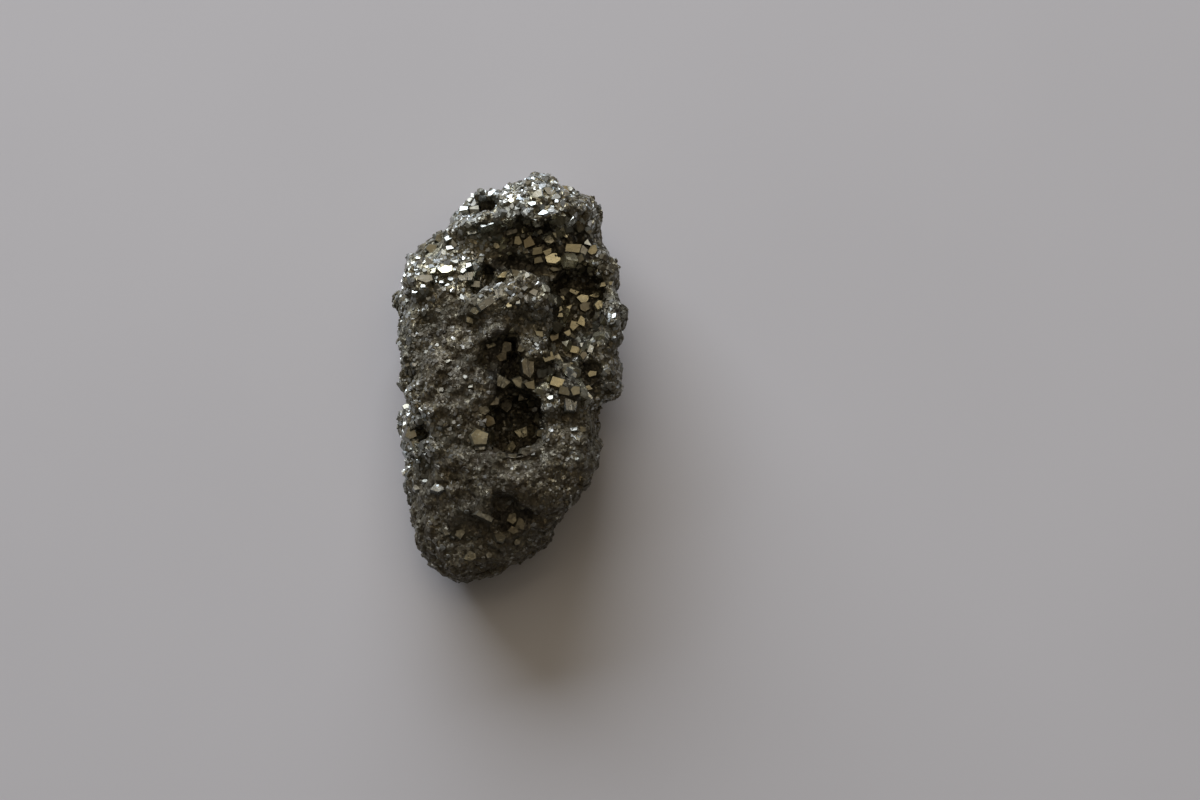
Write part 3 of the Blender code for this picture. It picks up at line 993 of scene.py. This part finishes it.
class PyriteStage(bpy.types.PropertyGroup):
    """Floor, lights and camera."""

    floor: tint("Floor", "Colour of the floor", (0.62, 0.61, 0.62))
    window: number("Window", "Brightness of the cool window", 8.0)
    card: number("Card", "Brightness of the warm high card", 1.0)
    overhead: number("Overhead", "Brightness of the card above", 0.6)
    room: number("Room", "Brightness of the dim room", 0.065)


class PyriteSpecimen(bpy.types.PropertyGroup):
    """Everything that a user would change."""

    look: PointerProperty(type=PyriteLook)
    mass: PointerProperty(type=PyriteMass)
    crust: PointerProperty(type=PyriteCrystals)
    druse: PointerProperty(type=PyriteCrystals)
    vugs: PointerProperty(type=PyriteCrystals)
    stage: PointerProperty(type=PyriteStage)


# What the druse's and the vugs' crystals have of their own
SORTS = {
    "druse": {
        "spacing": 1.2 * MM,
        "smallest": 0.5 * MM,
        "largest": 1.15 * MM,
        "tilt": math.radians(22),
        "sink": 0.3,
        "patchiness": 0.9,
        "seed": 5,
    },
    "vugs": {
        "spacing": 0.8 * MM,
        "smallest": 0.6 * MM,
        "largest": 1.8 * MM,
        "tilt": math.radians(35),
        "sink": 0.22,
        "skew": 1.4,
        "seed": 8,
    },
}


# ----- Pieces -----


def make_mass(sizes, material):
    """The knobby mass: the solid's skin, remeshed finely and roughened with lumps and facets."""
    bm = bmesh.new()
    bm.from_mesh(frame["nodes"][NODE].data)
    bmesh.ops.remove_doubles(bm, verts=bm.verts, dist=0.001 * MM)
    obj = placed("mass_skin", new_mesh("mass_skin", bm))
    remesh = obj.modifiers.new("fine", "REMESH")
    remesh.mode = "VOXEL"
    remesh.voxel_size = sizes.voxel
    obj.modifiers.new("soften", "SMOOTH").iterations = 3
    skin = settled(obj)
    obj.data = skin
    points = points_of(skin)
    free = smooth_step(points[:, 2], FOOT_RISE, FOOT_RISE + FOOT_FADE)
    mark(skin, "free", free * (1.0 - FILM_SMOOTHING * film_and_shade_share(points)))
    skin.shade_smooth()
    normals = read(skin.vertices, "normal", 3)
    skin.attributes.new("calm", "FLOAT_VECTOR", "POINT").data.foreach_set("vector", flat(normals))
    mesh = kept_in_box(with_tree(obj, skin_tree(material), values_of(sizes)))
    bpy.data.objects.remove(obj)
    points = points_of(mesh)
    vug = share_of(VUG_ZONES, points)
    bare = share_of(BARE_ZONES, points)
    film = film_and_shade_share(points)
    free = smooth_step(points[:, 2], FOOT_RISE, 2 * FOOT_RISE) * (1.0 - bare)
    outside = (1.0 - VUG_THINNING * vug) * free
    # The hollows, where the mass takes painted shade
    mark(mesh, "hollow", np.maximum(vug, bare))
    mark(mesh, "vugs", vug * free)
    mark(mesh, "crust", outside * (1.0 - FILM_THINNING * film))
    mark(mesh, "druse", outside * (1.0 - film))
    mark(mesh, "film", film)
    return mesh


def add_sort(pyrite, sort, name, forms, finish, bands=1):
    """Scatters a sort of crystal over the mass, as one piece or as one for each band along it."""
    sizes = getattr(pyrite, sort)
    collection = crystal_collection(sort + "_forms", forms, sizes.seed)
    tree = scatter_tree(sort, collection, metal(name, finish))
    carrier = placed(sort, bpy.data.objects[MASS].data)
    edges = np.linspace(LOW.y - BAND_MARGIN, HIGH.y + BAND_MARGIN, bands + 1)
    pieces = [name] if bands == 1 else ["%s_%d" % (name, band + 1) for band in range(bands)]
    for piece, south, north in zip(pieces, edges, edges[1:]):
        values = {**values_of(sizes), "From Y": float(south), "To Y": float(north)}
        add_piece(piece, kept_in_box(with_tree(carrier, tree, values)))
    bpy.data.objects.remove(carrier)
    forget(collection)


def view_way(x, y):
    """The way from the camera through a place in its frame."""
    across = (x - FRAME_WIDTH / 2) / FRAME_WIDTH * SENSOR / LENS
    up = (FRAME_HEIGHT / 2 - y) / FRAME_WIDTH * SENSOR / LENS
    return (CAMERA_RIGHT * across + CAMERA_UP * up - CAMERA_BACK).normalized()


def cut_facet(sides, chance):
    """A flat-topped crystal about one unit across: an uneven face over a wider shoulder and foot."""
    uneven = chance.uniform(-CORNER_TURN, CORNER_TURN, sides)
    turns = (np.arange(sides) + 0.5 + uneven) * 2.0 * math.pi / sides
    corners = np.stack((np.cos(turns), np.sin(turns)), 1) * chance.uniform(*CORNER_RANGE, (sides, 1))
    corners = (corners - corners.min(0)) / np.ptp(corners, 0) - 0.5
    lean = chance.uniform(-FACET_LEAN, FACET_LEAN, 2)
    shoulder = (chance.uniform(*SHOULDER_DEPTHS), chance.uniform(*SHOULDER_SPREADS))
    bm = bmesh.new()
    rings = []
    for depth, spread in ((0.0, 1.0), shoulder, (1.0, FOOT_SPREAD)):
        places = corners * spread + lean * depth
        rings.append([bm.verts.new((x, y, -depth)) for x, y in places])
    bm.faces.new(rings[0])
    bm.faces.new(reversed(rings[-1]))
    for upper, lower in zip(rings, rings[1:]):
        for i in range(sides):
            bm.faces.new((upper[i - 1], lower[i - 1], lower[i], upper[i]))
    return bm


def seat(skin, crystal):
    """Where a large crystal sits, turned so that its face returns its light to the camera."""
    x, y, width, height = crystal[:4]
    depths = []
    for across, up in FEELERS:
        hit = skin.ray_cast(CAMERA_PLACE, view_way(x + across * width, y + up * height))
        if hit[0] is not None:
            depths.append(hit[3])
    aim = view_way(x, y)
    middle = CAMERA_PLACE + aim * (sum(depths) / len(depths) + min(depths)) / 2
    outward = (LIGHT_WAYS[crystal.light] - aim).normalized()
    turn = math.radians(crystal.turn)
    level = Vector((math.cos(turn), math.sin(turn), 0.0))
    side = (level - outward * level.dot(outward)).normalized()
    depth = FACET_DEPTH * (width + height) / 2
    stretch = Matrix.Diagonal((width * PIXEL, height * PIXEL, depth * PIXEL))
    turned = Matrix((side, outward.cross(side), outward)).transposed() @ stretch
    raised = middle + outward * (FACET_RISE * (width + height) / 2 * PIXEL)
    return Matrix.Translation(raised) @ turned.to_4x4()


def large_crystals(skin):
    """All the large crystals as one mesh, and the middle and reach of each."""
    chance = np.random.default_rng(LARGE_SEED)
    whole = bmesh.new()
    layers = [whole.verts.layers.float.new(name) for name in ("tone", "steely", "lined", "film")]
    within = whole.verts.layers.float_vector.new("within")
    seats = []
    for crystal in (LargeCrystal(*row) for row in LARGE_CRYSTALS):
        at = seat(skin, crystal)
        form = cut_facet(crystal.sides, chance)
        # A large crystal takes its zone's film, and with it the zone's painted shade
        film = max(0.0, film_and_shade_share(np.array([at.translation]))[0] - FILM)
        marks = (crystal.tone, float("steel" in crystal.cast), float("lined" in crystal.cast), film)
        fresh = {}
        for vert in form.verts:
            fresh[vert] = whole.verts.new(at @ vert.co)
            fresh[vert][within] = vert.co
            for layer, value in zip(layers, marks):
                fresh[vert][layer] = value
        for face in form.faces:
            whole.faces.new([fresh[vert] for vert in face.verts])
        form.free()
        seats.append((at.translation.copy(), max(crystal.width, crystal.height) / 2 * PIXEL))
    bmesh.ops.recalc_face_normals(whole, faces=whole.faces)
    return new_mesh("large_crystals", whole), seats


def clear_around(mesh, seats):
    """Keeps the scattered crystals off the large ones."""
    points = points_of(mesh)
    for name, gap in CLEARANCES.items():
        shares = mesh.attributes[name].data
        values = read(shares, "value")
        for middle, reach in seats:
            off = np.linalg.norm(points - np.array(middle), axis=1)
            values[off < reach + gap] = 0.0
        shares.foreach_set("value", values)


class OBJECT_OT_pyrite_mass(bpy.types.Operator):
    """Makes the knobby fine-grained mass that stands for the whole solid"""

    bl_idname = "object.pyrite_mass"
    bl_label = "Mass"
    bl_options = {"REGISTER", "UNDO"}

    def execute(self, context):
        pyrite = context.scene.pyrite
        material = metal("granular_pyrite", grain_finish(pyrite.look))
        add_piece(MASS, make_mass(pyrite.mass, material), stands_for=True)
        return {"FINISHED"}


class OBJECT_OT_pyrite_large(bpy.types.Operator):
    """Makes the large crystals that have places of their own"""

    bl_idname = "object.pyrite_large"
    bl_label = "Large crystals"
    bl_options = {"REGISTER", "UNDO"}

    def execute(self, context):
        mass = bpy.data.objects[MASS]
        skin = BVHTree.FromObject(mass, context.evaluated_depsgraph_get())
        mesh, seats = large_crystals(skin)
        finish = crystal_finish(context.scene.pyrite.look, "vug", LARGE_ROUGHNESS, LARGE_LINES)
        mesh.materials.append(metal("large_crystals", finish))
        add_piece("large_crystals", kept_in_box(mesh))
        clear_around(mass.data, seats)
        return {"FINISHED"}


class OBJECT_OT_pyrite_crust(bpy.types.Operator):
    """Makes the crust of tiny crystals that covers the mass"""

    bl_idname = "object.pyrite_crust"
    bl_label = "Crust"
    bl_options = {"REGISTER", "UNDO"}

    def execute(self, context):
        pyrite = context.scene.pyrite
        finish = crystal_finish(pyrite.look, "crust", CRUST_ROUGHNESS, FINE_LINES)
        add_sort(pyrite, "crust", "crust_crystals", GRAIN_FORMS, finish, CRUST_BANDS)
        return {"FINISHED"}


class OBJECT_OT_pyrite_druse(bpy.types.Operator):
    """Makes the coarser crystals that stand out of the crust in patches"""

    bl_idname = "object.pyrite_druse"
    bl_label = "Druse"
    bl_options = {"REGISTER", "UNDO"}

    def execute(self, context):
        pyrite = context.scene.pyrite
        finish = crystal_finish(pyrite.look, "crust", DRUSE_ROUGHNESS, FINE_LINES)
        add_sort(pyrite, "druse", "druse_crystals", CRYSTAL_FORMS, finish)
        return {"FINISHED"}


class OBJECT_OT_pyrite_vugs(bpy.types.Operator):
    """Makes the clean golden crystals that line the vugs"""

    bl_idname = "object.pyrite_vugs"
    bl_label = "Vug crystals"
    bl_options = {"REGISTER", "UNDO"}

    def execute(self, context):
        pyrite = context.scene.pyrite
        finish = crystal_finish(pyrite.look, "vug", VUG_ROUGHNESS, VUG_LINES)
        add_sort(pyrite, "vugs", "vug_crystals", CRYSTAL_FORMS, finish)
        return {"FINISHED"}


# ----- Stage -----

# Each light's distance, its width and height, and its colour
LIGHTS = {
    "window": (1.4, (1.45, 0.85), (0.85, 0.90, 1.0)),
    "card": (1.0, (0.6, 0.65), (1.0, 0.85, 0.66)),
    "overhead": (1.0, (0.7, 0.7), (1.0, 0.82, 0.60)),
}
ROOM_COLOUR = (1.0, 0.93, 0.84)
FLOOR_REACH = 1.5
MOTTLE_SIZE, MOTTLE_EDGES, MOTTLE_SHADE = 0.05, (0.3, 0.7), 0.97


def add_light(name, distance, size, colour, radiance):
    """A soft rectangular light that faces the lump from its own way."""
    light = bpy.data.lights.new(name, "AREA")
    light.shape = "RECTANGLE"
    light.size, light.size_y = size
    light.energy = radiance * math.pi * size[0] * size[1]
    light.color = colour
    obj = placed(name, light)
    obj.location = LIGHT_WAYS[name] * distance
    obj.rotation_euler = (-LIGHT_WAYS[name]).to_track_quat("-Z", "Y").to_euler()


def add_camera():
    data = bpy.data.cameras.new("view")
    data.lens = LENS
    data.sensor_width = SENSOR
    data.clip_start = 0.01
    camera = placed("view", data)
    camera.location = CAMERA_PLACE
    camera.rotation_euler = (-CAMERA_BACK).to_track_quat("-Z", "Y").to_euler()
    bpy.context.scene.camera = camera


def add_floor(colour):
    """A plain pale floor with a faint mottle."""
    material = bpy.data.materials.new("pale_floor")
    material.use_nodes = True
    graph = Graph(material.node_tree)
    shader = material.node_tree.nodes["Principled BSDF"]
    shader.inputs["Roughness"].default_value = 0.7
    shader.inputs["Specular IOR Level"].default_value = 0.2
    cloud = graph.ramp(graph.noise(graph.own_place(), MOTTLE_SIZE, 3.0), *MOTTLE_EDGES)
    darker = tuple(channel * MOTTLE_SHADE for channel in colour)
    graph.feed(shader.inputs["Base Color"], graph.mix(cloud, opaque(darker), opaque(colour)))
    bm = bmesh.new()
    bmesh.ops.create_grid(bm, x_segments=1, y_segments=1, size=FLOOR_REACH)
    floor = placed("floor", new_mesh("floor", bm))
    floor.data.materials.append(material)


class OBJECT_OT_pyrite_stage(bpy.types.Operator):
    """Makes the floor, the studio lights and the camera"""

    bl_idname = "object.pyrite_stage"
    bl_label = "Stage"
    bl_options = {"REGISTER", "UNDO"}

    def execute(self, context):
        scene = context.scene
        stage = scene.pyrite.stage
        scene.view_settings.view_transform = "Standard"
        add_floor(stage.floor)
        add_camera()
        for name, light in LIGHTS.items():
            add_light(name, *light, getattr(stage, name))
        scene.world = bpy.data.worlds.new("dim_room")
        scene.world.use_nodes = True
        background = scene.world.node_tree.nodes["Background"]
        background.inputs["Color"].default_value = opaque(ROOM_COLOUR)
        background.inputs["Strength"].default_value = stage.room
        return {"FINISHED"}


# ----- Panel and registration -----

OPERATORS = (
    OBJECT_OT_pyrite_stage,
    OBJECT_OT_pyrite_mass,
    OBJECT_OT_pyrite_large,
    OBJECT_OT_pyrite_crust,
    OBJECT_OT_pyrite_druse,
    OBJECT_OT_pyrite_vugs,
)


class VIEW3D_PT_pyrite(bpy.types.Panel):
    """Lists the operators and what they read"""

    bl_label = "Pyrite specimen"
    bl_space_type = "VIEW_3D"
    bl_region_type = "UI"
    bl_category = "Pyrite"

    def draw(self, context):
        for operator_class in OPERATORS:
            self.layout.operator(operator_class.bl_idname)
        pyrite = context.scene.pyrite
        for group in (pyrite.look, pyrite.mass, pyrite.crust, pyrite.druse, pyrite.vugs, pyrite.stage):
            box = self.layout.box()
            for name in group.__annotations__:
                box.prop(group, name)


GROUPS = (PyriteLook, PyriteMass, PyriteCrystals, PyriteStage, PyriteSpecimen)
CLASSES = GROUPS + OPERATORS + (VIEW3D_PT_pyrite,)


def register():
    for item in CLASSES:
        bpy.utils.register_class(item)
    bpy.types.Scene.pyrite = PointerProperty(type=PyriteSpecimen)


def unregister():
    del bpy.types.Scene.pyrite
    for item in reversed(CLASSES):
        bpy.utils.unregister_class(item)


def set_sorts(pyrite):
    """Gives each sort of crystal its own spacing and sizes."""
    for sort, values in SORTS.items():
        for name, value in values.items():
            setattr(getattr(pyrite, sort), name, value)


def main():
    register()
    set_sorts(bpy.context.scene.pyrite)
    bpy.ops.object.pyrite_stage()
    bpy.ops.object.pyrite_mass()
    bpy.ops.object.pyrite_large()
    bpy.ops.object.pyrite_crust()
    bpy.ops.object.pyrite_druse()
    bpy.ops.object.pyrite_vugs()


if __name__ == "__main__":
    main()
